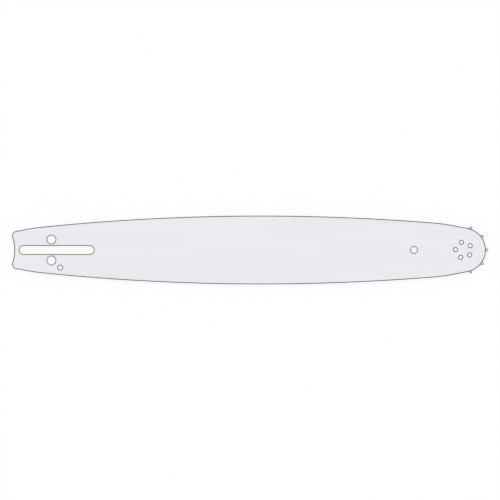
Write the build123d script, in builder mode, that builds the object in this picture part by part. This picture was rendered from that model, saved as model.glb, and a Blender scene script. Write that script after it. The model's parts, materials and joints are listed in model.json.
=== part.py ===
from build123d import *
from math import acos, cos, degrees, radians, sin, sqrt, tan
import os

# Guide bar of a chainsaw with a sprocket nose: three plates welded into one bar, and a ten-tooth sprocket
# that runs on caged rollers round a riveted race in the nose. The bar lies on its side, millimetres, +Z up.
# +X runs from the tail to the nose. The origin is the middle of the stud slot, on the lower face.

# Plates
bar_length = 473.8  # tail corners to the rail at the nose
bar_width = 68.7  # at the widest place of the belly
side_plate_thickness = 1.4
core_plate_thickness = 1.5  # the gauge of the chain groove
groove_depth = 6.5
edge_chamfer = 0.3  # round the rim of the outer faces

# Tail end of the outline
tail_taper_length = 21.5  # tail end to the tail shoulder, along X
tail_taper_angle = 10.9
tail_drop = 12.07  # belly height less shoulder height
tail_corner_radius = 4.75
tail_hollow_depth = 2.3

# Nose end of the outline
nose_taper_length = 19.5  # nose shoulder to the sprocket's axis, along X
nose_drop = 7.85  # belly height less shoulder height
shoulder_blend_radius = 165.0
longest_blend = 0.8  # share of a taper that its shoulder's blend may take up

# Openings at the saw end, and the hole to hang the bar by
slot_length = 74.4
slot_width = 8.2
slot_from_tail = 7.5
tension_hole_radius = 4.15
tension_hole_pitch = 20.9
tension_hole_from_tail = 39.4
oil_hole_radius = 2.2
oil_hole_from_tail = 48.2
oil_hole_inset = 0.85  # its centre lies this far inside the floor of the groove
hang_hole_radius = 3.1
hang_hole_from_axis = 49.5  # from the sprocket's axis

# Rivets and race
rivet_count = 5
rivet_first_angle = 33.0
rivet_circle_radius = 7.95
rivet_shank_radius = 1.7
rivet_head_radius = 1.95  # flush heads, countersunk at 90 degrees
rivet_play = 0.02
race_wall = 1.15  # outside the rivets

# Rollers and cage
roller_count = 14
roller_radius = 1.4
roller_play = 0.04  # running clearance to the race and to the sprocket's bore
roller_end_play = 0.05
cage_play = 0.12  # to the race and to the sprocket's bore
cage_pocket_play = 0.06
cage_ring_thickness = 0.35  # under the rollers
side_play = 0.1  # between the running pieces and the side plates

# Sprocket
tooth_count = 10
tooth_width = 4.2
tooth_above_rail = 2.4
tooth_shoulder_below_rail = 0.3  # where the flanks end and the point begins
tooth_tip_radius = 1.0
sprocket_wall = 2.82  # bore to the bottom of the gullets
gullet_depth = 5.8  # bottom of the gullets to the rail
sprocket_pocket_play = 0.6  # between the tooth tips and the core plate

# Sizes that follow from these
bar_thickness = 2 * side_plate_thickness + core_plate_thickness
middle_height = bar_thickness / 2
running_thickness = core_plate_thickness - 2 * side_play
running_height = side_plate_thickness + side_play
roller_length = running_thickness - cage_ring_thickness - roller_end_play
roller_height = running_height + cage_ring_thickness + roller_end_play

race_radius = rivet_circle_radius + rivet_shank_radius + race_wall
roller_circle_radius = race_radius + roller_play + roller_radius
sprocket_bore_radius = roller_circle_radius + roller_radius + roller_play
sprocket_root_radius = sprocket_bore_radius + sprocket_wall
nose_radius = sprocket_root_radius + gullet_depth
tooth_tip_reach = nose_radius + tooth_above_rail

tail_x = -slot_length / 2 - slot_from_tail
nose_x = tail_x + bar_length - nose_radius
nose_plane = Plane(origin=(nose_x, 0, 0))


def touching_point(centre, radius, outside, turn):
    """Where the line from a point outside a circle touches it, on the side that turn (1 or -1) gives."""
    towards = outside - centre
    swing = turn * degrees(acos(radius / towards.length))
    return centre + towards.normalized().rotate(Axis.Z, swing) * radius


# Points of the bar's upper edge. The belly is one arc, which touches the full width between the shoulders.
tail_shoulder = Vector(tail_x + tail_taper_length, bar_width / 2 - tail_drop)
nose_shoulder = Vector(nose_x - nose_taper_length, bar_width / 2 - nose_drop)
belly_share = sqrt(tail_drop) / (sqrt(tail_drop) + sqrt(nose_drop))
belly_top = Vector(tail_shoulder.X + belly_share * (nose_shoulder.X - tail_shoulder.X), bar_width / 2)
belly = ThreePointArc(tail_shoulder, belly_top, nose_shoulder)
nose_touch = touching_point(Vector(nose_x, 0), nose_radius, nose_shoulder, -1)
nose_tip = Vector(nose_x + nose_radius, 0)

# The tail corners touch the tapers and the end of the bar, and the hollow between them touches both corners.
taper_slope = tan(radians(tail_taper_angle))
taper_normal = Vector(-sin(radians(tail_taper_angle)), cos(radians(tail_taper_angle)))
corner_height = (
    tail_shoulder.Y
    - taper_slope * (tail_taper_length - tail_corner_radius)
    - tail_corner_radius / cos(radians(tail_taper_angle))
)
corner_centre = Vector(tail_x + tail_corner_radius, corner_height)
corner_end = corner_centre + taper_normal * tail_corner_radius
corner_to_hollow = (tail_hollow_depth**2 + corner_height**2) / (2 * tail_hollow_depth)
hollow_bottom = Vector(tail_x + tail_hollow_depth, 0)
hollow_centre = hollow_bottom - Vector(corner_to_hollow - tail_corner_radius, 0)
hollow_end = corner_centre + (hollow_centre - corner_centre).normalized() * tail_corner_radius


def rail_edge(start):
    """The bar's upper edge, from a point on the tail taper to the tip of the nose, with blended shoulders."""
    with BuildLine() as edge:
        tail_taper = Line(start, tail_shoulder)
        add(belly)
        nose_taper = Line(nose_shoulder, nose_touch)
        TangentArc(nose_touch, nose_tip, tangent=nose_taper % 1)
        for before, after, taper in ((tail_taper, belly, tail_taper), (belly, nose_taper, nose_taper)):
            half_turn = radians((before % 1).get_angle(after % 0)) / 2
            blend_radius = min(shoulder_blend_radius, longest_blend * taper.length / tan(half_turn))
            fillet(edge.vertices().sort_by_distance(before @ 1)[0], blend_radius)
    return edge.line


def half_width_at(x):
    """Height of the belly's arc above the middle of the bar."""
    return belly.arc_center.Y + sqrt(belly.radius**2 - (x - belly.arc_center.X) ** 2)


tension_x = tail_x + tension_hole_from_tail
oil_x = tail_x + oil_hole_from_tail
oil_y = -(half_width_at(oil_x) - groove_depth - oil_hole_inset)

# Plan of the whole bar with its openings, which all three plates share.
with BuildSketch() as bar_plan:
    with BuildLine():
        hollow = TangentArc(hollow_bottom, hollow_end, tangent=(0, 1))
        TangentArc(hollow_end, corner_end, tangent=hollow % 1)
        add(rail_edge(corner_end))
        mirror(about=Plane.XZ)
    make_face()
    SlotOverall(slot_length, slot_width, mode=Mode.SUBTRACT)
    with Locations((tension_x, tension_hole_pitch / 2), (tension_x, -tension_hole_pitch / 2)):
        Circle(tension_hole_radius, mode=Mode.SUBTRACT)
    with Locations((oil_x, oil_y)):
        Circle(oil_hole_radius, mode=Mode.SUBTRACT)
    with Locations((nose_x - hang_hole_from_axis, 0)):
        Circle(hang_hole_radius, mode=Mode.SUBTRACT)

# Upper side plate, with countersunk holes for the nose rivets
with BuildPart() as side_plate_upper:
    with BuildSketch(Plane.XY.offset(bar_thickness - side_plate_thickness)):
        add(bar_plan.sketch)
    extrude(amount=side_plate_thickness)
    chamfer(side_plate_upper.faces().sort_by(Axis.Z)[-1].outer_wire().edges(), edge_chamfer)
    with Locations(nose_plane.offset(bar_thickness)):
        with PolarLocations(rivet_circle_radius, rivet_count, rivet_first_angle):
            CounterSinkHole(
                rivet_shank_radius + rivet_play,
                rivet_head_radius + rivet_play,
                counter_sink_angle=90,
            )

# Lower side plate, the mirror image of the upper one
with BuildPart() as side_plate_lower:
    mirror(side_plate_upper.part, about=Plane.XY.offset(middle_height))

# Core plate, set back from the rails by the depth of the groove, which runs out at the tail. It is cut away
# round the sprocket.
with BuildPart() as core_plate:
    with BuildSketch(Plane.XY.offset(side_plate_thickness)):
        groove_run_out = tail_taper_length + 2 * groove_depth
        rail_start = tail_shoulder - Vector(groove_run_out, groove_run_out * taper_slope)
        with BuildLine():
            add(rail_edge(rail_start))
            Line(rail_start, (rail_start.X, 0))
            mirror(about=Plane.XZ)
        make_face()
        offset(amount=-groove_depth, mode=Mode.REPLACE)
        add(bar_plan.sketch, mode=Mode.INTERSECT)
        with Locations((nose_x, 0)):
            Circle(tooth_tip_reach + sprocket_pocket_play, mode=Mode.SUBTRACT)
    extrude(amount=core_plate_thickness)

# Bearing race, the disc that the rivets clamp between the side plates
with BuildPart() as bearing_race:
    with BuildSketch(nose_plane.offset(side_plate_thickness)):
        Circle(race_radius)
        with PolarLocations(rivet_circle_radius, rivet_count, rivet_first_angle):
            Circle(rivet_shank_radius + rivet_play, mode=Mode.SUBTRACT)
    extrude(amount=core_plate_thickness)

# Nose rivets, with a flush head on each face
head_depth = rivet_head_radius - rivet_shank_radius
with BuildPart() as rivet:
    with BuildSketch(Plane.XZ):
        with BuildLine():
            Polyline(
                (0, 0),
                (rivet_head_radius, 0),
                (rivet_shank_radius, head_depth),
                (rivet_shank_radius, bar_thickness - head_depth),
                (rivet_head_radius, bar_thickness),
                (0, bar_thickness),
                close=True,
            )
        make_face()
    revolve(axis=Axis.Z)

with BuildPart() as nose_rivets:
    with Locations(nose_plane):
        with PolarLocations(rivet_circle_radius, rivet_count, rivet_first_angle):
            add(rivet.part)

# One pitch of the sprocket: a tooth along +X between two half gullets. Each gullet is a full round, which
# touches the parallel flanks of the teeth on both sides of it.
half_pitch = radians(180 / tooth_count)
gullet_radius = (sprocket_root_radius * sin(half_pitch) - tooth_width / 2) / (1 - sin(half_pitch))
gullet_bottom = Vector(cos(half_pitch), sin(half_pitch)) * sprocket_root_radius
flank_start = Vector((sprocket_root_radius + gullet_radius) * cos(half_pitch), tooth_width / 2)
flank_end = Vector(nose_radius - tooth_shoulder_below_rail, tooth_width / 2)
tip_centre = Vector(tooth_tip_reach - tooth_tip_radius, 0)
with BuildSketch() as tooth_pitch:
    with BuildLine():
        Line((0, 0), gullet_bottom)
        TangentArc(gullet_bottom, flank_start, tangent=(sin(half_pitch), -cos(half_pitch)))
        Line(flank_start, flank_end)
        point = Line(flank_end, touching_point(tip_centre, tooth_tip_radius, flank_end, -1))
        TangentArc(point @ 1, (tooth_tip_reach, 0), tangent=point % 1)
        mirror(about=Plane.XZ)
    make_face()

# Nose sprocket, which carries the chain round the nose
with BuildPart() as nose_sprocket:
    with BuildSketch(nose_plane.offset(running_height)):
        with PolarLocations(0, tooth_count):
            add(tooth_pitch.sketch)
        Circle(sprocket_bore_radius, mode=Mode.SUBTRACT)
    extrude(amount=running_thickness)

# Roller cage, a ring with posts that keep the rollers apart. The rollers drop in from its open side.
with BuildPart() as roller_cage:
    with BuildSketch(nose_plane.offset(running_height)):
        Circle(sprocket_bore_radius - cage_play)
        Circle(race_radius + cage_play, mode=Mode.SUBTRACT)
    extrude(amount=running_thickness)
    with BuildSketch(nose_plane.offset(running_height + cage_ring_thickness)):
        with PolarLocations(roller_circle_radius, roller_count):
            Rectangle(2 * roller_radius + 2 * roller_play, 2 * roller_radius + 2 * cage_pocket_play)
    extrude(amount=running_thickness, mode=Mode.SUBTRACT)

os.makedirs("parts", exist_ok=True)

side_plate_upper.part.label = "side_plate_upper"
export_step(side_plate_upper.part, "parts/side_plate_upper.step")
side_plate_lower.part.label = "side_plate_lower"
export_step(side_plate_lower.part, "parts/side_plate_lower.step")
core_plate.part.label = "core_plate"
export_step(core_plate.part, "parts/core_plate.step")
bearing_race.part.label = "bearing_race"
export_step(bearing_race.part, "parts/bearing_race.step")
nose_rivets.part.label = "nose_rivets"
export_step(nose_rivets.part, "parts/nose_rivets.step")
nose_sprocket.part.label = "nose_sprocket"
export_step(nose_sprocket.part, "parts/nose_sprocket.step")
roller_cage.part.label = "roller_cage"
export_step(roller_cage.part, "parts/roller_cage.step")

# Bearing rollers, one in each pocket of the cage
for number in range(roller_count):
    from_axis = Vector(roller_circle_radius, 0).rotate(Axis.Z, number * 360 / roller_count)
    roller_plane = Plane(origin=nose_plane.origin + from_axis)
    with BuildPart(roller_plane.offset(roller_height)) as bearing_roller:
        Cylinder(roller_radius, roller_length, align=(Align.CENTER, Align.CENTER, Align.MIN))
    bearing_roller.part.label = f"bearing_roller_{number + 1:02d}"
    export_step(bearing_roller.part, f"parts/{bearing_roller.part.label}.step")
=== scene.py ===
# %% [markdown]
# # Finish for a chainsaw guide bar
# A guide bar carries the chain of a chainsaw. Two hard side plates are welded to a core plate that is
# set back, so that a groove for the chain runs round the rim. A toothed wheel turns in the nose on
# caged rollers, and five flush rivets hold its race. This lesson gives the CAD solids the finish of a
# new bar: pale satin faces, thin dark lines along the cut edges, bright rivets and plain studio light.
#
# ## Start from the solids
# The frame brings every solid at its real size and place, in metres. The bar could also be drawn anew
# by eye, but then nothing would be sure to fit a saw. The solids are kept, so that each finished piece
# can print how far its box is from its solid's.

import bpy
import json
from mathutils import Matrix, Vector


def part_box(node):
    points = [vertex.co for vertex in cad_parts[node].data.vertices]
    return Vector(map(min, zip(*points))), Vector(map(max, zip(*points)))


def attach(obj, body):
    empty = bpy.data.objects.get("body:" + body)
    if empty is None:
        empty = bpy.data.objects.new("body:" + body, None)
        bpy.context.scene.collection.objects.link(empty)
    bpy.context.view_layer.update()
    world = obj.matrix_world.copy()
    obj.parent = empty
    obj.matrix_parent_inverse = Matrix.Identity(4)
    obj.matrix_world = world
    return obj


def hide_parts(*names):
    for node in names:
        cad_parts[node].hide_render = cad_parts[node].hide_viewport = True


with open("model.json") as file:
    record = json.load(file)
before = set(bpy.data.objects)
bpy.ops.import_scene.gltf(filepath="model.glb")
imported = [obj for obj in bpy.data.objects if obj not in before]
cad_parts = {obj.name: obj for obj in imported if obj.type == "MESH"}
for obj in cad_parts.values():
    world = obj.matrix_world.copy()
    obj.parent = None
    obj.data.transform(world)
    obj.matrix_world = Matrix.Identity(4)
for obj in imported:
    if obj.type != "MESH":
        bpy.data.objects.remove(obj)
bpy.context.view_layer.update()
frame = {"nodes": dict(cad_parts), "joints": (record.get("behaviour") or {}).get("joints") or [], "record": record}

# %% [markdown]
# ## Places that the frame gives
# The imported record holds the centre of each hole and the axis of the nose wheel, and the boxes of the
# nodes give the plate's ends and heights. They could be typed in again, but values that are read keep
# the finish on the solids. Only the curves that no box or mount can tell are written further down, as
# named sizes.

# %% Read the measured places
import bpy
import numpy as np

mm = 0.001
mounts = {mount["name"]: mount for mount in frame["record"]["mounts"]}
wheel_hinge = next(joint for joint in frame["joints"] if joint["name"] == "sprocket_spin")
nose_axis = np.array(wheel_hinge["pos_m"][:2])
plate_low, plate_high = (np.array(corner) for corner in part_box("side_plate_upper"))
groove_low, groove_high = (corner[2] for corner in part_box("core_plate"))
tail_x = plate_low[0]
half_width = plate_high[1]
bar_thickness = plate_high[2]
nose_radius = plate_high[0] - nose_axis[0]
print("in mm: tail at", round(tail_x / mm, 2), "nose radius", round(nose_radius / mm, 2))
print("in mm: thickness", round(bar_thickness / mm, 2), "groove", round((groove_high - groove_low) / mm, 2))

# %% [markdown]
# ## Arcs as whole arrays
# A laser or a punch cuts every edge of the bar as a chain of lines and arcs. Blender's curve objects
# could follow them, but numpy arrays hold the exact points, and the same points then carry the profile
# of the edge. Close steps on tight curves keep them round in a close view, and the long belly needs
# few.

# %% Points along arcs
fine_step = 0.4 * mm
long_step = 3.0 * mm
full_turn = 2 * np.pi
quarter_turn = np.pi / 2


def arc(centre, radius, start, end, step):
    """Points on a circle: centre + radius * (cos a, sin a), where a runs evenly from start to end."""
    count = int(np.ceil(abs(end - start) * radius / step)) + 1
    angles = np.linspace(start, end, count)
    return centre + radius * np.stack([np.cos(angles), np.sin(angles)], axis=1)


def angle_of(point, centre):
    """The direction from a centre to a point, in radians from 0 to a full turn."""
    return np.arctan2(point[1] - centre[1], point[0] - centre[0]) % full_turn


def touching_point(centre, radius, outside, turn):
    """Where the line from an outside point touches a circle: the radius makes acos(radius / distance)
    with the direction to that point, on the side that turn (1 or -1) gives."""
    towards = outside - centre
    angle = angle_of(outside, centre) + turn * np.arccos(radius / np.linalg.norm(towards))
    return centre + radius * np.array([np.cos(angle), np.sin(angle)])


print("a nose arc has", len(arc(nose_axis, nose_radius, 0, quarter_turn, fine_step)), "points a quarter")

# %% [markdown]
# ## The belly of the bar
# A guide bar swells in the middle, so that the chain lies against it all along. A spline could be drawn
# by eye, but the real edge is one flat arc of more than two metres radius, from the shoulder at the
# tail to the shoulder at the nose. Three points fix a circle, so the two shoulders and the widest place
# are enough.

# %% Fit the belly's circle
tail_taper_length = 21.5 * mm
tail_taper_angle = np.radians(10.9)
tail_drop = 12.07 * mm
nose_taper_length = 19.5 * mm
nose_drop = 7.85 * mm

tail_shoulder = np.array([tail_x + tail_taper_length, half_width - tail_drop])
nose_shoulder = np.array([nose_axis[0] - nose_taper_length, half_width - nose_drop])
# on a flat arc the drop grows as the square of the way from the widest place
belly_share = np.sqrt(tail_drop) / (np.sqrt(tail_drop) + np.sqrt(nose_drop))
belly_top = np.array([tail_shoulder[0] + belly_share * (nose_shoulder[0] - tail_shoulder[0]), half_width])


def circle_through(a, b, c):
    """Centre and radius of the circle through three points: the centre p solves 2 (b - a) p = b b - a a, and
    the same with c."""
    rows = 2 * np.array([b - a, c - a])
    centre = np.linalg.solve(rows, np.array([b @ b - a @ a, c @ c - a @ a]))
    return centre, np.linalg.norm(a - centre)


belly_centre, belly_radius = circle_through(tail_shoulder, belly_top, nose_shoulder)
print("belly radius", round(belly_radius, 3), "m")

# %% [markdown]
# ## Shoulders
# Where the belly meets the straight tapers, the chain would knock over a corner, so the grinder blends
# it with a large radius. A Bevel modifier rounds a corner too, but its width would be found by trial.
# The blend's circle touches the line and the belly from inside: its centre is one blend radius off the
# line, and belly radius less blend radius from the belly's centre. That is a quadratic for the slide
# along the line.

# %% Blend the shoulders
shoulder_blend_radius = 165 * mm


def shoulder_blend(shoulder, along):
    """Centre of the blend, and where it touches the line and the belly."""
    inwards = np.array([along[1], -along[0]])
    offset = shoulder + inwards * shoulder_blend_radius
    reach = belly_radius - shoulder_blend_radius
    from_belly = offset - belly_centre
    middle = from_belly @ along
    spread = np.sqrt(middle**2 - from_belly @ from_belly + reach**2)
    slide = min(-middle - spread, -middle + spread, key=abs)
    centre = offset + along * slide
    return centre, shoulder + along * slide, belly_centre + (centre - belly_centre) * belly_radius / reach


tail_direction = np.array([np.cos(tail_taper_angle), np.sin(tail_taper_angle)])
nose_touch = touching_point(nose_axis, nose_radius, nose_shoulder, -1)
nose_direction = (nose_touch - nose_shoulder) / np.linalg.norm(nose_touch - nose_shoulder)
tail_blend, tail_on_line, tail_on_belly = shoulder_blend(tail_shoulder, tail_direction)
nose_blend, nose_on_line, nose_on_belly = shoulder_blend(nose_shoulder, nose_direction)
print("the tail's blend is", round((tail_on_belly - tail_on_line)[0] / mm, 1), "mm long,")
print("and the nose's", round((nose_on_line - nose_on_belly)[0] / mm, 1), "mm")

# %% [markdown]
# ## Tail
# The tail has two round corners and a shallow hollow between them, which clears the saw's drive wheel.
# They could be cut with Booleans, but here too a few right triangles give the exact arcs: the corner
# touches the taper and the end of the bar, and the hollow touches both corners.

# %% Place the tail's corners and hollow
tail_corner_radius = 4.75 * mm
tail_hollow_depth = 2.3 * mm

corner_height = (
    tail_shoulder[1]
    - np.tan(tail_taper_angle) * (tail_taper_length - tail_corner_radius)
    - tail_corner_radius / np.cos(tail_taper_angle)
)
corner_centre = np.array([tail_x + tail_corner_radius, corner_height])
# a right triangle between the two centres: way**2 = (way - depth)**2 + height**2
corner_to_hollow = (tail_hollow_depth**2 + corner_height**2) / (2 * tail_hollow_depth)
hollow_radius = corner_to_hollow - tail_corner_radius
hollow_centre = np.array([tail_x + tail_hollow_depth - hollow_radius, 0.0])
hollow_end = corner_centre + (hollow_centre - corner_centre) * tail_corner_radius / corner_to_hollow
print("tail corners at", np.round(corner_centre / mm, 2), "hollow radius", round(hollow_radius / mm, 1))

# %% [markdown]
# ## The rim as one loop
# The rim is what the chain runs along. Its upper edge goes from the tip of the nose back to the middle
# of the tail, and as the bar can be turned over on the saw, the mirror image of that edge closes the
# loop. A Mirror modifier would do the same to a mesh, but a single loop is needed to fill the face. The
# loop goes against the clock, so the metal is on its left all the way round.

# %% Join the rim


def blend_arc(centre, start, end):
    """The shoulder's arc from one touching point to the other."""
    return arc(centre, shoulder_blend_radius, angle_of(start, centre), angle_of(end, centre), long_step)


def closed_loop(*stretches):
    """The stretches one after another, without the points that lie on the one before."""
    points = np.concatenate(stretches)
    gap = np.linalg.norm(points - np.roll(points, 1, axis=0), axis=1)
    return points[gap > fine_step / 100]


belly_angles = [angle_of(end, belly_centre) for end in (nose_on_belly, tail_on_belly)]
corner_angles = quarter_turn + tail_taper_angle, angle_of(hollow_end, corner_centre)
upper_edge = np.concatenate(
    [
        arc(nose_axis, nose_radius, 0, angle_of(nose_touch, nose_axis), fine_step),
        blend_arc(nose_blend, nose_on_line, nose_on_belly),
        arc(belly_centre, belly_radius, *belly_angles, long_step),
        blend_arc(tail_blend, tail_on_belly, tail_on_line),
        arc(corner_centre, tail_corner_radius, *corner_angles, fine_step),
        arc(hollow_centre, hollow_radius, angle_of(hollow_end, hollow_centre), 0, fine_step),
    ]
)
rim = closed_loop(upper_edge, upper_edge[::-1] * (1, -1))
print("rim points", len(rim), "length", round((rim[:, 0].max() - rim[:, 0].min()) / mm, 2), "mm")

# %% [markdown]
# ## Openings
# The slot takes the saw's two studs, the holes above and below it take the pin that tensions the chain,
# the small hole feeds oil to the groove, and the hole near the nose hangs the bar on a peg. A Boolean
# could punch them, but loops keep the walls clean. They go with the clock, so that the metal is again
# on the left.

# %% Loops of the openings
slot_length = 74.4 * mm
slot_width = 8.2 * mm
hole_names = ["tension_hole_upper", "tension_hole_lower", "oil_hole", "hang_hole"]


def hole(centre, radius):
    """A circle that runs with the clock."""
    return arc(centre, radius, full_turn, 0, fine_step)[:-1]


slot_centre = np.array(mounts["stud_slot"]["pos_m"][:2])
slot_reach = np.array([(slot_length - slot_width) / 2, 0])
stud_slot = closed_loop(
    arc(slot_centre + slot_reach, slot_width / 2, quarter_turn, -quarter_turn, fine_step),
    arc(slot_centre - slot_reach, slot_width / 2, -quarter_turn, -3 * quarter_turn, fine_step),
)
holes = [hole(np.array(mounts[n]["pos_m"][:2]), mounts[n]["dims"]["r_mm"] * mm) for n in hole_names]
print("openings:", 1 + len(holes), "slot points", len(stud_slot))

# %% [markdown]
# ## Rivet places
# Five rivets stand in a ring round the nose axis and clamp the bearing's race between the plates. An
# Array modifier could turn one rivet round an empty, but the plates need the same five places for their
# holes, so the ring is a radius and evenly spaced angles.

# %% Where the rivets stand
rivet_count = 5
rivet_first_angle = np.radians(33)
rivet_circle_radius = 7.95 * mm
rivet_shank_radius = 1.7 * mm
rivet_head_radius = 1.95 * mm
rivet_play = 0.02 * mm

rivet_angles = rivet_first_angle + full_turn / rivet_count * np.arange(rivet_count)
rivet_directions = np.stack([np.cos(rivet_angles), np.sin(rivet_angles)], axis=1)
rivet_places = nose_axis + rivet_circle_radius * rivet_directions
rivet_holes = [hole(place, rivet_shank_radius + rivet_play) for place in rivet_places]
print("rivets at", np.round(rivet_places / mm, 1).tolist())

# %% [markdown]
# ## A profile carried along a loop
# The cut edge of a plate is the same small profile all the way round: up the wall, round the broken
# corner and a little way onto the face. A Bevel modifier could round the corner, but it doesn't say
# where the cut ends and the face begins. A profile that is carried along the loop gives a grid of
# points, and each of its rows also has a darkness value, from bare metal at 0 to fully dark at 1,
# which the finish reads later: oxide of the cut, and painted shade at the edges and in the groove.

# %% Carry a profile along a loop


def carry_profile(loop, profile):
    """Grid of points: row i is the loop moved into the metal by inset(i), at height(i). The way out of
    the metal is the loop's direction turned a quarter turn with the clock."""
    direction = np.roll(loop, -1, axis=0) - np.roll(loop, 1, axis=0)
    direction /= np.linalg.norm(direction, axis=1, keepdims=True)
    outwards = np.stack([direction[:, 1], -direction[:, 0]], axis=1)
    inset, height = profile[:, 0], profile[:, 1]
    flat = loop[None] - inset[:, None, None] * outwards[None]
    heights = np.broadcast_to(height[:, None, None], flat.shape[:2] + (1,))
    return np.concatenate([flat, heights], axis=2)


def strip_faces(rows, columns):
    """Four-sided faces of a grid whose columns close on themselves."""
    i, j = np.meshgrid(np.arange(rows - 1), np.arange(columns), indexing="ij")
    k = (j + 1) % columns
    corners = [i * columns + j, i * columns + k, (i + 1) * columns + k, (i + 1) * columns + j]
    return np.stack(corners, axis=-1).reshape(-1, 4)


print("a strip of two rows round the rim has", len(strip_faces(2, len(rim))), "faces")

# %% [markdown]
# ## Flat faces with holes
# Between the loops a plate is flat. One face can't have holes in it, and bridges cut to them by hand
# would leave slivers. A constrained Delaunay triangulation fills all that the rim encloses and keeps
# the loops as edges. Every opening is convex, so a triangle that lies in one has its three corners on
# that one loop: those are dropped.

# %% Fill between loops
from mathutils.geometry import delaunay_2d_cdt

# the kind of output that has the triangles inside the outer ring
only_inside = 1
# points closer than this, in metres, count as one
nearest = 1e-9


def fill_between(rings, points):
    """Triangles, against the clock, between closed rings of point numbers. The first ring is the outer
    one, and a triangle with all its corners on one of the others is left out."""
    numbers = np.concatenate(rings)
    owner = np.repeat(np.arange(len(rings)), [len(ring) for ring in rings])
    starts = np.cumsum([0] + [len(ring) for ring in rings[:-1]])
    edges = np.concatenate(
        [
            np.stack([start + np.arange(len(ring)), start + np.roll(np.arange(len(ring)), -1)], axis=1)
            for start, ring in zip(starts, rings)
        ]
    )
    _, _, faces, origins, _, _ = delaunay_2d_cdt(points[numbers, :2], edges, [], only_inside, nearest)
    triangles = np.array(origins)[:, 0][np.array(faces)]
    in_opening = (owner[triangles] == owner[triangles[:, :1]]).all(axis=1) & (owner[triangles[:, 0]] > 0)
    return numbers[triangles[~in_opening]]


rim_and_slot = np.concatenate([rim, stud_slot])
two_rings = np.split(np.arange(len(rim_and_slot)), [len(rim)])
print("rim and slot alone take", len(fill_between(two_rings, rim_and_slot)), "triangles")

# %% [markdown]
# ## One mesh for a cut plate
# The strips and the two flat faces could stay separate objects, but a plate is one piece of metal: they
# share their points, so its mesh is closed. All faces are smooth, and edges that turn by more than a
# set angle are marked sharp. The light then flows round the broken corners and stops at the sharp ones.

# %% Build a cut plate
sharp_angle = np.radians(35)


def mesh_object(name, points, face_groups, oxide_and_shade):
    """Puts points and groups of faces into a new object, with the oxide and painted shade as a point attribute."""
    mesh = bpy.data.meshes.new(name)
    mesh.from_pydata(points.tolist(), [], sum((group.tolist() for group in face_groups), []))
    mesh.polygons.foreach_set("use_smooth", np.ones(len(mesh.polygons), dtype=bool))
    mesh.attributes.new("oxide_and_shade", "FLOAT", "POINT").data.foreach_set("value", oxide_and_shade.astype(np.float32))
    mesh.update()
    mesh.set_sharp_from_angle(angle=sharp_angle)
    piece = bpy.data.objects.new(name, mesh)
    bpy.context.scene.collection.objects.link(piece)
    return piece


def cut_plate(name, edges):
    """A plate from its edges, each a loop and a profile of rows (inset, height, darkness of oxide and painted
    shade) from the lower face up: the profiles' strips, and the two flats that fill between their first and last
    rows."""
    grids = [carry_profile(loop, profile) for loop, profile in edges]
    starts = np.cumsum([0] + [grid.shape[0] * grid.shape[1] for grid in grids[:-1]])
    points = np.concatenate([grid.reshape(-1, 3) for grid in grids])
    strips = np.concatenate([start + strip_faces(*grid.shape[:2]) for start, grid in zip(starts, grids)])
    lower = [start + np.arange(grid.shape[1]) for start, grid in zip(starts, grids)]
    upper = [start + np.arange(-grid.shape[1], 0) + grid[..., 0].size for start, grid in zip(starts, grids)]
    flats = np.concatenate([fill_between(lower, points)[:, ::-1], fill_between(upper, points)])
    oxide_and_shade = np.concatenate([np.repeat(profile[:, 2], len(loop)) for loop, profile in edges])
    return mesh_object(name, points, [strips, flats], oxide_and_shade)


print("edges stay sharp from", round(np.degrees(sharp_angle)), "degrees")

# %% [markdown]
# ## Standing in for a solid
# A finished piece hides the plain solid that it stands for and moves with the same body; its finish
# comes later. The solid could be left inside it, but two skins in one place flicker in a render. The
# print tells how far the new piece's box is from the solid's, which should be next to nothing.

# %% Put a piece in a solid's place


def stand_in_for(piece, node, body):
    """Hides a CAD node behind a piece, on that body, and prints how far apart their boxes are."""
    points = np.empty((len(piece.data.vertices), 3), dtype=np.float32)
    piece.data.vertices.foreach_get("co", points.ravel())
    apart = np.abs(np.array(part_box(node)) - [points.min(axis=0), points.max(axis=0)]).max()
    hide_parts(node)
    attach(piece, body)
    print(piece.name, "has", len(points), "points, and its box is", round(apart / mm, 3), "mm off at most")


print("a piece can stand in for any of", len(frame["nodes"]), "nodes")

# %% [markdown]
# ## Profiles of the cut edges
# The rim's corners are broken by 0.3 mm where the rail was dressed, and the openings are only deburred.
# Round each of them a thin dark line lies on the face, with a soft inner border: partly oxide left by the
# cut, partly painted shade that outlines the edge. The walls take a share of the same dark as oxide, and
# the faces in the groove as painted shade. The line could be painted in the material, but only the
# profile knows where the edge is. The lower plate is the upper one turned over, so its profile is the same
# rows in the other order.

# %% Rows of the profiles
rim_corner = 0.3 * mm
opening_corner = 0.15 * mm
rim_line = 0.38 * mm
opening_line = 0.46 * mm
rivet_line = 0.4 * mm
line_border = 0.25 * mm
# share of the dark colour on the walls and on the plate faces in the groove: oxide on the cut walls, painted shade
# on the groove faces
wall_oxide_and_groove_shade = 0.4
bend_rows = 5
countersink = rivet_head_radius - rivet_shank_radius


def edge_profile(corner, line, inner, outer):
    """Rows from the inner face to the outer one: the wall, the broken corner as a quarter circle with inset
    r (1 - cos a) and height r (1 - sin a) short of the face, and the dark line with its border."""
    side = np.sign(outer - inner)
    turn = np.linspace(0, quarter_turn, bend_rows)[1:]
    bend = [corner * (1 - np.cos(turn)), outer - side * corner * (1 - np.sin(turn)), np.ones(len(turn))]
    wall = [[0, inner, wall_oxide_and_groove_shade], [0, outer - side * corner, wall_oxide_and_groove_shade]]
    face = [[corner + line, outer, 1], [corner + line + line_border, outer, 0]]
    return np.concatenate([wall, np.transpose(bend), face])[:: int(side)]


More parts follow.
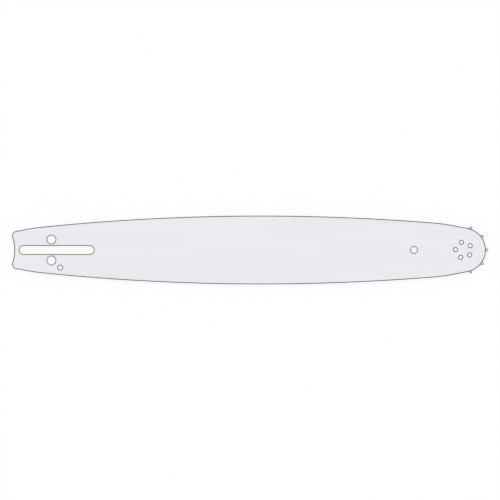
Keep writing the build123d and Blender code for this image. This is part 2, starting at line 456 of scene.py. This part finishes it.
def rivet_seat_profile(inner, outer):
    """Rows from the inner face to the outer one: the hole's wall, a countersink at 45 degrees and the
    dark line with its border."""
    side = np.sign(outer - inner)
    wall = [[0, inner, wall_oxide_and_groove_shade], [0, outer - side * countersink, 1]]
    face = [[countersink, outer, 1], [countersink + rivet_line, outer, 1]]
    border = [[countersink + rivet_line + line_border, outer, 0]]
    return np.array(wall + face + border)[:: int(side)]


rim_profile = edge_profile(rim_corner, rim_line, groove_high, bar_thickness)
print("rim profile in mm:", np.round(rim_profile[:, :2] / mm, 2).tolist())

# %% [markdown]
# ## Side plates
# The two outer plates are hard spring steel, cut and ground in one setting, so they are the same shape.
# The CAD solids could be shown as they are, but their rim has a plain chamfer, their openings are sharp
# and nothing darkens their edges. Soft corners and dark edge lines, partly oxide and partly painted shade,
# are what makes the bar look like metal up close, so each plate is built again from its loops and profiles.

# %% Make both side plates


def side_plate(name, inner, outer):
    """A side plate between its inner and outer face."""
    opening_edge = edge_profile(opening_corner, opening_line, inner, outer)
    edges = [(rim, edge_profile(rim_corner, rim_line, inner, outer))]
    edges += [(loop, opening_edge) for loop in [stud_slot, *holes]]
    edges += [(loop, rivet_seat_profile(inner, outer)) for loop in rivet_holes]
    return cut_plate(name, edges)


upper_plate = side_plate("upper_side_plate", groove_high, bar_thickness)
lower_plate = side_plate("lower_side_plate", groove_low, 0.0)
stand_in_for(upper_plate, "side_plate_upper", "bar")
stand_in_for(lower_plate, "side_plate_lower", "bar")

# %% [markdown]
# ## Outline of the nose wheel
# The wheel is a flat ring with ten teeth, stamped from sheet and hardened. Between the teeth are full
# round gullets for the chain's drive links, and each tooth ends in a blunt point. The teeth could be
# modelled one by one, but half a tooth is enough: its mirror image makes the tooth, and ten turned
# copies make the wheel.

# %% Half a tooth, turned ten times
tooth_count = 10
tooth_width = 4.2 * mm
tooth_tip_radius = 1.0 * mm
tooth_shoulder_below_rail = 0.3 * mm
tooth_above_rail = 2.4 * mm
wheel_root_radius = 16.5 * mm

half_pitch = np.pi / tooth_count
# the gullet's circle stands on the root circle and touches the straight flank
gullet_radius = (wheel_root_radius * np.sin(half_pitch) - tooth_width / 2) / (1 - np.sin(half_pitch))
gullet_centre = (wheel_root_radius + gullet_radius) * np.array([np.cos(half_pitch), np.sin(half_pitch)])
flank_end = np.array([nose_radius - tooth_shoulder_below_rail, tooth_width / 2])
tip_centre = np.array([nose_radius + tooth_above_rail - tooth_tip_radius, 0.0])
tip_touch = touching_point(tip_centre, tooth_tip_radius, flank_end, -1)
half_tooth = np.concatenate(
    [
        arc(tip_centre, tooth_tip_radius, 0, angle_of(tip_touch, tip_centre), fine_step / 2),
        flank_end[None],
        arc(gullet_centre, gullet_radius, -quarter_turn, half_pitch - np.pi, fine_step),
    ]
)
tooth = np.concatenate([half_tooth[::-1] * (1, -1), half_tooth])
# each point of the tooth, turned by each of the ten angles
tooth_angles = full_turn / tooth_count * np.arange(tooth_count)
cosines, sines = np.cos(tooth_angles), np.sin(tooth_angles)
turns = np.array([[cosines, -sines], [sines, cosines]])
wheel_rim = closed_loop(nose_axis + np.einsum("ijk,nj->kni", turns, tooth).reshape(-1, 2))
print("wheel points", len(wheel_rim), "gullet radius", round(gullet_radius / mm, 2), "mm")

# %% [markdown]
# ## Nose wheel
# The wheel is thinner than the groove and turns freely in it. A Solidify modifier could give the outline
# its thickness, but the wheel is cut from sheet as the plates are, so the same function makes it, with
# a broken corner on both faces. It rides on its own body, so that it turns with the hinge while the
# plates stay still.

# %% Make the nose wheel
wheel_bore_radius = 13.68 * mm
wheel_corner = 0.1 * mm
# the wheel's dark edge line is, as on the plates, partly oxide and partly painted edge shade
wheel_line = 0.4 * mm
wheel_low, wheel_high = (corner[2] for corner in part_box("nose_sprocket"))


def both_corners(low, high, corner, line):
    """Rows from the lower face to the upper one with a broken corner at each."""
    middle = (low + high) / 2
    lower_half = edge_profile(corner, line, middle, low)
    upper_half = edge_profile(corner, line, middle, high)
    return np.concatenate([lower_half, upper_half[1:]])


wheel_edge = both_corners(wheel_low, wheel_high, wheel_corner, wheel_line)
wheel_bore = hole(nose_axis, wheel_bore_radius)
nose_wheel = cut_plate("nose_wheel", [(wheel_rim, wheel_edge), (wheel_bore, wheel_edge)])
stand_in_for(nose_wheel, "nose_sprocket", "sprocket")

# %% [markdown]
# ## Profile of a rivet
# A nose rivet is a pin whose ends were spread into the countersinks and ground flush with the plates. A
# cylinder with bevelled ends could stand for it, but its heads are cones that have to seat. So its
# profile goes up the cone and round the slightly softened corner to the middle of the head, and the
# lower half is the upper one turned over.

# %% Rows of a rivet
rivet_corner_width = 0.18 * mm
rivet_corner_depth = 0.09 * mm

turn = np.linspace(0, quarter_turn, bend_rows)
head_radius = rivet_head_radius - rivet_corner_width * (1 - np.cos(turn))
head_height = bar_thickness - rivet_corner_depth * (1 - np.sin(turn))
# the third number paints the dark colour: 1 on the cone and the head's rim, as oxide and painted shade round the
# head, 0 in the middle
head = np.stack([head_radius, head_height, np.ones(bend_rows)], axis=1)
neck = [[rivet_shank_radius, bar_thickness - countersink, 1]]
middle = [[rivet_head_radius - 2 * rivet_corner_width, bar_thickness, 0]]
upper_rows = np.concatenate([neck, head, middle])
rivet_rows = np.concatenate([upper_rows[::-1] * (1, -1, 1) + (0, bar_thickness, 0), upper_rows])
print("upper half of a rivet in mm:", np.round(upper_rows[:, :2] / mm, 2).tolist())

# %% [markdown]
# ## Rivets
# The rivets are turned parts. A Screw modifier could turn the profile, but a grid of rows and angles is
# just as short, and the five places are added to it in one step.

# %% Turn the rivets
rivet_steps = 64

# a point of one rivet is radius(i) * (cos a, sin a) at height(i), for row i and angle a
around = full_turn / rivet_steps * np.arange(rivet_steps)
ring = np.stack([np.cos(around), np.sin(around), np.zeros(rivet_steps)], axis=1)
one_rivet = rivet_rows[:, None, :1] * ring + rivet_rows[:, None, 1:2] * (0, 0, 1)
lifted_places = np.column_stack([rivet_places, np.zeros(rivet_count)])
rivet_points = (lifted_places[:, None, None] + one_rivet).reshape(-1, 3)
rivet_starts = one_rivet[..., 0].size * np.arange(rivet_count)
rivet_sides = (rivet_starts[:, None, None] + strip_faces(len(rivet_rows), rivet_steps)).reshape(-1, 4)
lower_ends = rivet_starts[:, None] + np.arange(rivet_steps)[::-1]
upper_ends = rivet_starts[:, None] + one_rivet[..., 0].size + np.arange(-rivet_steps, 0)
rivet_oxide_and_shade = np.tile(np.repeat(rivet_rows[:, 2], rivet_steps), rivet_count)
rivets = mesh_object("flush_rivets", rivet_points, [rivet_sides, lower_ends, upper_ends], rivet_oxide_and_shade)
stand_in_for(rivets, "nose_rivets", "bar")

# %% [markdown]
# ## Building blocks of a finish
# Each finish is one Principled shader. What is the same all over sits on its own sockets, and only what
# varies is wired. Painted textures could give the same looks, but noise on Object coordinates needs no
# file, has no seams and stays on the piece when it moves. A Mapping node stretches the noise into a
# grain along the bar.

# %% A shader, and noise for it
usual_detail = 3.0


def new_finish(name, metallic, roughness):
    """A material with a Principled shader, and its node tree and shader."""
    material = bpy.data.materials.new(name)
    material.use_nodes = True
    tree = material.node_tree
    shader = tree.nodes["Principled BSDF"]
    shader.inputs["Metallic"].default_value = metallic
    shader.inputs["Roughness"].default_value = roughness
    return material, tree, shader


def noise(tree, stretch, detail=usual_detail):
    """Noise on Object coordinates, with its own number of cells a metre along X, Y and Z."""
    place = tree.nodes.new("ShaderNodeTexCoord")
    mapping = tree.nodes.new("ShaderNodeMapping")
    mapping.inputs["Scale"].default_value = stretch
    texture = tree.nodes.new("ShaderNodeTexNoise")
    texture.inputs["Scale"].default_value = 1.0
    texture.inputs["Detail"].default_value = detail
    tree.links.new(place.outputs["Object"], mapping.inputs["Vector"])
    tree.links.new(mapping.outputs["Vector"], texture.inputs["Vector"])
    return texture.outputs["Fac"]


print("noise has", usual_detail, "layers of detail, unless a finish asks for another number")

# %% [markdown]
# ## From noise to numbers and tones
# No two places on a ground or rolled face are quite alike: its tone and its shine wander a little. A
# Color Ramp node could make tones from noise, but its stops are hard to read in a script. Here a Map
# Range node gives a number, such as a roughness, and a Mix node a tone between two written ones. Most
# of a noise lies near its middle, so the range starts and ends there.

# %% Numbers and tones
usual_noise = 0.3, 0.7


def between(tree, factor, low, high):
    """A number that runs from low to high as the noise goes from its usual least to its usual most."""
    span = tree.nodes.new("ShaderNodeMapRange")
    span.inputs["From Min"].default_value = usual_noise[0]
    span.inputs["From Max"].default_value = usual_noise[1]
    span.inputs["To Min"].default_value = low
    span.inputs["To Max"].default_value = high
    tree.links.new(factor, span.inputs["Value"])
    return span.outputs["Result"]


def blend(tree, kind, factor, first, second):
    """A mix of two colours (kind RGBA) or numbers (kind FLOAT), each written or from another node."""
    mix = tree.nodes.new("ShaderNodeMix")
    mix.data_type = kind
    tree.links.new(factor, mix.inputs["Factor"])
    for socket, value in ((mix.inputs["A"], first), (mix.inputs["B"], second)):
        if isinstance(value, bpy.types.NodeSocket):
            tree.links.new(value, socket)
        elif kind == "RGBA":
            socket.default_value = (*value, 1.0)
        else:
            socket.default_value = value
    return mix.outputs["Result"]


def two_tones(tree, factor, dark, pale):
    """A colour that runs from dark to pale with a noise."""
    return blend(tree, "RGBA", between(tree, factor, 0.0, 1.0), dark, pale)


print("noise mostly runs from", usual_noise[0], "to", usual_noise[1])

# %% [markdown]
# ## Relief
# Grinding leaves fine marks along the bar. They could be displaced in the mesh, but they are only a
# hundredth of a millimetre deep and far closer together than its points, so bump is right for them.
# Forms that the eye can follow, such as corners and countersinks, are in the meshes above.

# %% Relief from a noise
grind_depth = 0.01 * mm
grind_strength = 0.2


def bump(tree, shader, height, depth, strength):
    """Relief from a noise, with its depth in metres."""
    relief = tree.nodes.new("ShaderNodeBump")
    relief.inputs["Distance"].default_value = depth
    relief.inputs["Strength"].default_value = strength
    tree.links.new(height, relief.inputs["Height"])
    tree.links.new(relief.outputs["Normal"], shader.inputs["Normal"])


print("grinding marks are", round(grind_depth / mm, 3), "mm deep")

# %% [markdown]
# ## Ground steel with dark edges of oxide and painted shade
# The faces were ground along their length. That leaves a grain too fine to see from a step away, but it
# softens the shine. The tone runs a little with the grain, in long faint streaks, and the polish
# changes in wider bands. Along each cut edge, on the walls and on the faces in the groove, an attribute
# mixes in a dark colour, which is duller too: partly oxide from the cut, partly painted shade. A second
# material on the edge faces could do that, but it would end in a hard line.

# %% Finish with a grain, oxide and painted shade
# the dark colour: oxide along the cuts, and painted shade at the edges and on the faces in the groove
oxide_and_shade_dark = (0.075, 0.075, 0.085)
oxide_roughness = 0.6
streak_detail = 4.0
polish_bands = (5.0, 110.0, 110.0)
polish_spread = 0.07


def ground_steel(name, pale, dark, roughness, streaks, grain):
    """Ground steel: the tone runs between dark and pale with the streaks, the roughness with the polish
    bands, and the attribute of oxide and painted shade mixes in the dark colour and the oxide's roughness."""
    material, tree, shader = new_finish(name, metallic=1.0, roughness=roughness)
    tone = two_tones(tree, noise(tree, streaks, streak_detail), dark, pale)
    polish = between(tree, noise(tree, polish_bands), roughness - polish_spread, roughness + polish_spread)
    oxide_and_shade = tree.nodes.new("ShaderNodeAttribute")
    oxide_and_shade.attribute_name = "oxide_and_shade"
    colour = blend(tree, "RGBA", oxide_and_shade.outputs["Fac"], tone, oxide_and_shade_dark)
    dullness = blend(tree, "FLOAT", oxide_and_shade.outputs["Fac"], polish, oxide_roughness)
    tree.links.new(colour, shader.inputs["Base Color"])
    tree.links.new(dullness, shader.inputs["Roughness"])
    bump(tree, shader, noise(tree, grain), grind_depth, grind_strength)
    return material


print("roughness of the cut edge's oxide:", oxide_roughness)

# %% [markdown]
# ## Finish of the side plates
# The plates are bare new steel, pale and slightly cool. A picture of ground steel could be laid on
# them, but two close tones and stretched noise are enough. A streak is about 11 cm long and 1.4 mm
# wide, and a mark of the grain 17 mm long and 0.2 mm wide: the numbers are how many fit in a metre.

# %% Dress the side plates
plate_pale = (0.861, 0.853, 0.901)
plate_dark = (0.828, 0.82, 0.868)
plate_roughness = 0.36
along_streaks = (9.0, 700.0, 700.0)
along_grain = (60.0, 5000.0, 5000.0)


def dress_new(piece, material):
    """Gives a new piece its finish."""
    piece.data.materials.append(material)
    print(piece.name, "has", material.name)


plate_steel = ground_steel(
    "satin_plate_steel", plate_pale, plate_dark, plate_roughness, along_streaks, along_grain
)
dress_new(upper_plate, plate_steel)
dress_new(lower_plate, plate_steel)

# %% [markdown]
# ## Finish of the wheel and the rivets
# The wheel was tumbled after hardening, so its tone is cloudy and has no direction. The rivets were
# ground flush together with the plates and have the same grain, but their softer steel came out
# brighter. Each could have a material of its own design, but one function with other values gives all
# three steels and keeps them a family.

# %% Dress the wheel and the rivets
wheel_pale = (0.84, 0.84, 0.86)
wheel_dark = (0.76, 0.76, 0.78)
wheel_roughness = 0.32
wheel_cloud = (250.0, 250.0, 250.0)
wheel_grain = (900.0, 900.0, 900.0)
rivet_pale = (0.99, 0.99, 0.99)
rivet_dark = (0.95, 0.95, 0.96)
rivet_roughness = 0.24

wheel_steel = ground_steel(
    "hard_wheel_steel", wheel_pale, wheel_dark, wheel_roughness, wheel_cloud, wheel_grain
)
rivet_steel = ground_steel(
    "bright_rivet_steel", rivet_pale, rivet_dark, rivet_roughness, along_streaks, along_grain
)
dress_new(nose_wheel, wheel_steel)
dress_new(rivets, rivet_steel)

# %% [markdown]
# ## Core plate
# The core shows only as the floor of the groove and as a dark line in the walls of the openings. It is
# rolled steel that was never ground, so it keeps patches of mill scale. It could be built again as the
# side plates were, but none of its corners show, so its CAD solid stays and gets a finish in its own
# slot.

# %% Rolled steel for the core
scale_patches = (120.0, 120.0, 120.0)
scale_detail = 5.0
scale_dark = (0.3, 0.3, 0.32)
scale_pale = (0.44, 0.44, 0.46)
dark_roughness = 0.55
pale_roughness = 0.42
scale_depth = 0.02 * mm
scale_strength = 0.3


def rolled_steel():
    """Rolled steel that was left unground: grey, with darker and rougher scale in patches."""
    material, tree, shader = new_finish("core_rolled_steel", metallic=1.0, roughness=dark_roughness)
    scale = noise(tree, scale_patches, scale_detail)
    tree.links.new(two_tones(tree, scale, scale_dark, scale_pale), shader.inputs["Base Color"])
    tree.links.new(between(tree, scale, dark_roughness, pale_roughness), shader.inputs["Roughness"])
    bump(tree, shader, scale, scale_depth, scale_strength)
    return material


def dress(node, material):
    """Puts a finish on a CAD node's own slots."""
    for slot in frame["nodes"][node].material_slots:
        slot.material = material
    print(node, "has", material.name)


dress("core_plate", rolled_steel())

# %% [markdown]
# ## Race and rollers
# The race and the rollers are closed in between the plates, and only a few slits let them be seen.
# They could be left grey for that reason, but the part is also used on its own and taken apart. So
# they get the steel of a bearing, hardened and polished, with a faint haze.

# %% Dress the race and the rollers
haze_cells = (700.0, 700.0, 700.0)
bearing_dark = (0.66, 0.66, 0.68)
bearing_pale = (0.74, 0.74, 0.75)
polished_roughness = 0.12
hazy_roughness = 0.2


def polished_steel():
    """Hardened and polished bearing steel, with a faint haze."""
    material, tree, shader = new_finish("polished_bearing_steel", metallic=1.0, roughness=polished_roughness)
    haze = noise(tree, haze_cells)
    tree.links.new(two_tones(tree, haze, bearing_dark, bearing_pale), shader.inputs["Base Color"])
    tree.links.new(between(tree, haze, polished_roughness, hazy_roughness), shader.inputs["Roughness"])
    return material


bearing_steel = polished_steel()
for node in sorted(frame["nodes"]):
    if node == "bearing_race" or node.startswith("bearing_roller"):
        dress(node, bearing_steel)

# %% [markdown]
# ## Cage
# The cage keeps the rollers apart. It is moulded from nylon in its natural cream, which runs quietly
# and needs little grease. One flat colour would do for so small a piece, but nylon is slightly cloudy
# and its skin slightly uneven, and one noise gives both.

# %% Dress the cage
nylon_cells = (350.0, 350.0, 350.0)
nylon_detail = 2.0
nylon_dark = (0.76, 0.71, 0.58)
nylon_pale = (0.84, 0.8, 0.69)
nylon_roughness = 0.45
nylon_depth = 0.02 * mm
nylon_strength = 0.2


def cage_nylon():
    """Moulded nylon in its natural cream, slightly cloudy."""
    material, tree, shader = new_finish("cage_nylon", metallic=0.0, roughness=nylon_roughness)
    cloud = noise(tree, nylon_cells, nylon_detail)
    tree.links.new(two_tones(tree, cloud, nylon_dark, nylon_pale), shader.inputs["Base Color"])
    bump(tree, shader, cloud, nylon_depth, nylon_strength)
    return material


dress("roller_cage", cage_nylon())

# %% [markdown]
# ## Seen or only giving light
# In a studio the ground and the walls are white to the eye, but the light that they scatter onto the
# bar has its own level. Two sets of white things could be made, one to be seen and one to give light. A
# Light Path node is shorter: it tells a shader which kind of ray asks, so one floor and one sky can
# answer both.

# %% Tell the rays apart
direct_rays = ["Is Camera Ray", "Is Glossy Ray", "Is Transmission Ray"]


def seen_directly(tree):
    """The largest of the direct rays' outputs: 1 for what is seen, also in reflections, and 0 for light."""
    path = tree.nodes.new("ShaderNodeLightPath")
    largest = path.outputs[direct_rays[0]]
    for ray in direct_rays[1:]:
        pair = tree.nodes.new("ShaderNodeMath")
        pair.operation = "MAXIMUM"
        tree.links.new(largest, pair.inputs[0])
        tree.links.new(path.outputs[ray], pair.inputs[1])
        largest = pair.outputs["Value"]
    return largest


print("seen directly:", direct_rays)

# %% [markdown]
# ## White paper
# The bar lies on white paper. More light would make it white too, but that would bleach the bar. So for
# the camera and for reflections most of its white is its own light, which stays white to the edges and
# inside the openings. The rest is lit as paper is, and keeps the bar's soft shadow.

# %% Finish of the paper
paper_white = (0.97, 0.97, 0.97, 1.0)
paper_roughness = 0.9
own_white = 0.86


def floor_paper():
    """White paper that adds its own white where it is seen directly."""
    material, tree, paper = new_finish("floor_paper", metallic=0.0, roughness=paper_roughness)
    paper.inputs["Base Color"].default_value = paper_white
    paper.inputs["Specular IOR Level"].default_value = 0.0
    white = tree.nodes.new("ShaderNodeEmission")
    share = tree.nodes.new("ShaderNodeMath")
    share.operation = "MULTIPLY"
    share.inputs[1].default_value = own_white
    mix = tree.nodes.new("ShaderNodeMixShader")
    tree.links.new(seen_directly(tree), share.inputs[0])
    tree.links.new(share.outputs["Value"], mix.inputs["Fac"])
    tree.links.new(paper.outputs["BSDF"], mix.inputs[1])
    tree.links.new(white.outputs["Emission"], mix.inputs[2])
    tree.links.new(mix.outputs["Shader"], tree.nodes["Material Output"].inputs["Surface"])
    return material


print("share of the paper's own white:", own_white)

# %% [markdown]
# ## Floor
# The paper is laid out far past the bar. A backdrop that curves up behind the bar could close the view,
# but paper and sky are both white, so a level floor runs into the sky without a line. It lies a hair
# below the bar, because two faces in one plane flicker.

# %% Lay the floor
floor_reach = 6.0
floor_gap = 0.02 * mm


def stage_object(name, points, faces, material):
    """A piece of the studio: shown in the render, but no part of the bar."""
    mesh = bpy.data.meshes.new(name)
    mesh.from_pydata(points.tolist(), [], faces.tolist())
    mesh.materials.append(material)
    thing = bpy.data.objects.new(name, mesh)
    bpy.context.scene.collection.objects.link(thing)
    print(name, "spans", np.round(np.ptp(points, axis=0), 2), "m")
    return thing


square = np.array([[-1, -1, 0], [1, -1, 0], [1, 1, 0], [-1, 1, 0]])
floor_corners = square * floor_reach - (0, 0, floor_gap)
stage_object("floor", floor_corners, np.arange(4)[None], floor_paper())

# %% [markdown]
# ## Light
# A white sky lights the bar evenly from all sides, and a wide soft sun adds a direction. Several area
# lamps could do it too, but each would leave its own patch on the satin faces. Sky and sun together
# give a level surface the light at which a colour renders as it is written.

# %% Sky and sun
sky_level = 0.7
sun_level = 0.3
sun_tilt = np.radians(35)
sun_width = np.radians(25)

world = bpy.data.worlds.new("white_sky")
bpy.context.scene.world = world
world.use_nodes = True
sky = world.node_tree.nodes["Background"]
sky.inputs["Color"].default_value = (1.0, 1.0, 1.0, 1.0)
level = world.node_tree.nodes.new("ShaderNodeMapRange")
# To Max stays 1, so the sky is white where it is seen
level.inputs["To Min"].default_value = sky_level
world.node_tree.links.new(seen_directly(world.node_tree), level.inputs["Value"])
world.node_tree.links.new(level.outputs["Result"], sky.inputs["Strength"])

sun = bpy.data.objects.new("soft_sun", bpy.data.lights.new("soft_sun", "SUN"))
bpy.context.scene.collection.objects.link(sun)
sun.data.energy = np.pi * sun_level / np.cos(sun_tilt)
sun.data.angle = sun_width
tilt_each_way = sun_tilt * np.sqrt(0.5)
sun.rotation_euler = (-tilt_each_way, -tilt_each_way, 0.0)
sun.visible_glossy = False
print("light on a level surface:", sky_level + sun_level)

# %% [markdown]
# ## Card for reflections
# Metal shows what it reflects, and under a white sky alone it looks like paper. A photographer sets
# grey cards round it. Here one card stands all round the bar, with four wide darker stretches that fade
# out upwards, and only reflections see it. From above the bar reflects the sky and keeps its colour.
# From a low angle its tone runs along its length, as on real satin steel.

# %% Light of the card
card_foot = 0.4
card_swing = 0.25
card_stretches = 4


def card_glow(angle, rise):
    """Light of the card: at its foot it swings about card_foot as sin(card_stretches * angle), and it
    grows evenly to white as rise goes from 0 to 1."""
    foot = card_foot + card_swing * np.sin(card_stretches * angle)
    return foot + (1 - foot) * rise


def card_finish():
    """Emission at the strength of the card's own glow attribute."""
    material = bpy.data.materials.new("reflection_card")
    material.use_nodes = True
    tree = material.node_tree
    tree.nodes.remove(tree.nodes["Principled BSDF"])
    glow = tree.nodes.new("ShaderNodeAttribute")
    glow.attribute_name = "glow"
    light = tree.nodes.new("ShaderNodeEmission")
    tree.links.new(glow.outputs["Fac"], light.inputs["Strength"])
    tree.links.new(light.outputs["Emission"], tree.nodes["Material Output"].inputs["Surface"])
    return material


foot_range = np.round([card_foot - card_swing, card_foot + card_swing], 2)
print("the card's foot glows between", foot_range)

# %% [markdown]
# ## Shape of the card
# The card is a plain round wall. A cylinder from the Add menu would have the shape, but a grid of
# angles and heights also says how bright each of its points is. The card is hidden from every ray but
# the glossy ones, so it is neither seen nor gives light.

# %% Make the card
card_radius = 0.75
card_height = 0.6
card_steps = 96
card_rows = 13
hidden_from = ["camera", "diffuse", "transmission", "shadow", "volume_scatter"]

bar_middle = (plate_low[0] + plate_high[0]) / 2
card_angles = full_turn / card_steps * np.arange(card_steps)
rise, angle = np.meshgrid(np.linspace(0, 1, card_rows), card_angles, indexing="ij")
card_x = bar_middle + card_radius * np.cos(angle)
card_y = card_radius * np.sin(angle)
card_points = np.stack([card_x, card_y, card_height * rise], axis=-1).reshape(-1, 3)
card = stage_object("reflection_card", card_points, strip_faces(card_rows, card_steps), card_finish())
glow_values = card_glow(angle, rise).ravel().astype(np.float32)
card.data.attributes.new("glow", "FLOAT", "POINT").data.foreach_set("value", glow_values)
for ray in hidden_from:
    setattr(card, "visible_" + ray, False)
print("points on the card:", len(card_points), "hidden from:", hidden_from)

# %% [markdown]
# ## Camera
# The bar is seen straight from above without perspective, as in a workshop drawing. A long lens from
# far away would come close, but an orthographic camera has no perspective at all. It shows half a metre
# across, so one pixel of the image is one millimetre of the bar.

# %% Place the camera
image_width = 500
view_width = 0.5
view_centre_x = 193.3 * mm
camera_height = 1.0

camera = bpy.data.objects.new("camera", bpy.data.cameras.new("camera"))
bpy.context.scene.collection.objects.link(camera)
camera.data.type = "ORTHO"
camera.data.ortho_scale = view_width
camera.location = (view_centre_x, 0.0, camera_height)
bpy.context.scene.camera = camera
bpy.context.scene.view_settings.view_transform = "Standard"
print("one pixel is", view_width / image_width / mm, "mm")

# %% [markdown]
# ## Size
# The finish must not change the bar's size. It could be measured by eye in the viewport, but numbers
# are surer; the pieces above printed how far their boxes are from the solids'. This last cell only
# brings in json.

# %% Bring in json
import json
